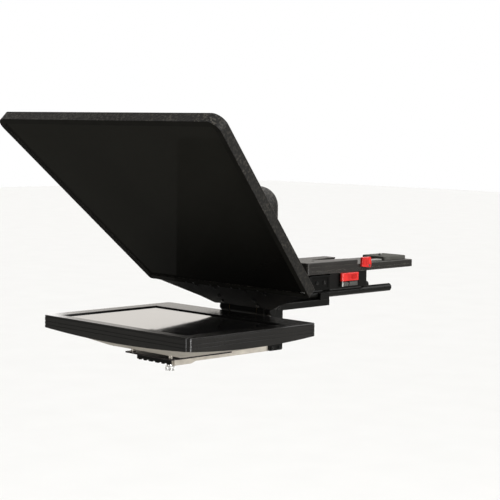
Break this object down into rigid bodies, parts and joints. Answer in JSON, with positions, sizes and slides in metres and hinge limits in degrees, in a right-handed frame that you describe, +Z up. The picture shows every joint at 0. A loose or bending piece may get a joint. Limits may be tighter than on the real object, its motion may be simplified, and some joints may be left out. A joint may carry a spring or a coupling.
{
  "type": "teleprompter",
  "caption": "Camera teleprompter: tilted beam splitter glass in a tapered black hood over a flat grooved monitor, on twin rods with a sliding camera plate.",
  "frame": {"origin": "mouth of the tripod screw hole, centred on the underside of the base plate", "axes": "+X across, towards the lever side of the camera carriage; -Y towards the presenter; +Z up"},
  "size_m": [0.5776, 0.7755, 0.4502],
  "materials": {
    "black_anodised": "black anodised, satin",
    "rod_black": "black anodised tube, satin",
    "rod_cap": "black moulded",
    "plated_steel": "zinc plated",
    "screw_black": "black oxide",
    "bush_brass": "machined",
    "knurled_steel": "bright knurled",
    "hood_textured": "black textured crinkle coat",
    "chin_black": "black powder coat",
    "beam_glass": "partly mirrored, polished",
    "gasket_rubber": "matt black",
    "retainer_black": "matt black",
    "monitor_aluminium": "dark anodised extrusion",
    "screen_gloss": "gloss screen cover",
    "panel_grey": "grey",
    "board_green": "solder mask",
    "cover_light": "natural, light brushed",
    "slide_purple": "dark anodised",
    "pad_grey": "light grey pad",
    "io_black": "black moulded",
    "socket_metal": "plated",
    "riser_front_black": "black moulded",
    "runner_plastic": "low friction, dark",
    "lever_red": "red moulded",
    "plate_grey": "grey anodised, satin"
  },
  "bodies": {
    "base": {"base_plate": "black_anodised", "rod_saddles": "black_anodised", "base_screws": "screw_black", "rod_left": "rod_black", "rod_right": "rod_black", "rod_end_caps": "rod_cap", "hinge_block": "black_anodised", "hinge_bushes": "bush_brass", "hinge_pin": "plated_steel", "hinge_nut": "screw_black", "drop_bracket_left": "black_anodised", "drop_bracket_right": "black_anodised", "bracket_screws": "screw_black", "monitor_arm": "cover_light", "arm_end_cap": "black_anodised"},
    "tilt_lever": {"tilt_lever": "black_anodised"},
    "hood": {"hood_rim": "hood_textured", "beam_splitter": "beam_glass", "glass_gasket": "gasket_rubber", "glass_retainer": "retainer_black", "rim_screws": "screw_black", "hood_shroud": "hood_textured", "lens_box": "hood_textured", "lens_collar": "gasket_rubber", "chin_plate": "chin_black", "chin_angle": "black_anodised", "yoke_knuckle_left": "black_anodised", "yoke_knuckle_right": "black_anodised", "chin_screws": "screw_black"},
    "monitor": {"monitor_frame": "monitor_aluminium", "screen_glass": "screen_gloss", "lcd_panel": "panel_grey", "driver_board": "board_green", "rear_cover": "cover_light", "io_plate": "io_black", "video_sockets": "socket_metal", "power_inlet": "io_black", "cover_screws": "plated_steel", "slide_spacers": "cover_light", "slide_plate": "slide_purple", "slide_guides": "cover_light"},
    "clamp_screw": {"thumb_screw": "knurled_steel", "clamp_washer": "plated_steel"},
    "power_rocker": {"power_rocker": "io_black"},
    "menu_button_1": {"menu_button_1": "io_black"},
    "menu_button_2": {"menu_button_2": "io_black"},
    "riser": {"riser_block": "black_anodised", "riser_front": "riser_front_black", "riser_runners": "runner_plastic", "clamp_shoes": "runner_plastic", "riser_lever_base": "plated_steel", "riser_screws": "screw_black"},
    "riser_lever": {"riser_lever": "lever_red"},
    "plate": {"camera_plate": "plate_grey", "camera_shoe": "plate_grey", "shoe_screws": "plated_steel", "rear_pad": "pad_grey", "plate_lock_base": "plated_steel"},
    "plate_lever": {"plate_lever": "lever_red"},
    "lock_pin": {"lock_pin": "plated_steel"}
  },
  "joints": [
    {"name": "hood_tilt", "type": "hinge", "parent": "base", "child": "hood", "pos_m": [0, -0.112, 0.003], "axis": [1, 0, 0], "range_deg": [0, 35]},
    {"name": "tilt_lever_turn", "type": "hinge", "parent": "base", "child": "tilt_lever", "pos_m": [0.063, -0.112, 0.003], "axis": [1, 0, 0], "range_deg": [0, 80]},
    {"name": "monitor_slide", "type": "slide", "parent": "base", "child": "monitor", "axis": [0, 1, 0], "range_m": [-0.02, 0.003]},
    {"name": "thumb_screw_turn", "type": "hinge", "parent": "monitor", "child": "clamp_screw", "pos_m": [0, -0.298, -0.084], "axis": [0, 0, 1], "range_deg": [0, 270]},
    {"name": "power_rocker_tilt", "type": "hinge", "parent": "monitor", "child": "power_rocker", "pos_m": [0.02, -0.16, -0.043], "axis": [0, 0, 1], "range_deg": [-8, 8]},
    {"name": "menu_button_1_press", "type": "slide", "parent": "monitor", "child": "menu_button_1", "axis": [0, -1, 0], "range_m": [0, 0.0015], "stiffness_N_per_m": 400},
    {"name": "menu_button_2_press", "type": "slide", "parent": "monitor", "child": "menu_button_2", "axis": [0, -1, 0], "range_m": [0, 0.0015], "stiffness_N_per_m": 400},
    {"name": "riser_slide", "type": "slide", "parent": "base", "child": "riser", "axis": [0, 1, 0], "range_m": [-0.03, 0.07]},
    {"name": "riser_lever_swing", "type": "hinge", "parent": "riser", "child": "riser_lever", "pos_m": [0.05, 0.094, 0.052], "axis": [0, 0, -1], "range_deg": [0, 75]},
    {"name": "plate_slide", "type": "slide", "parent": "riser", "child": "plate", "axis": [0, 1, 0], "range_m": [-0.03, 0.03]},
    {"name": "plate_lever_turn", "type": "hinge", "parent": "plate", "child": "plate_lever", "pos_m": [0.048, 0.172, 0.07], "axis": [-1, 0, 0], "range_deg": [0, 50]},
    {"name": "lock_pin_draw", "type": "slide", "parent": "plate", "child": "lock_pin", "axis": [0, 0, -1], "range_m": [0, 0.006]}
  ],
  "couplings": [
    {"joint": "plate_lever_turn", "follows": "lock_pin_draw", "rad_per_m": 145.4}
  ]
}
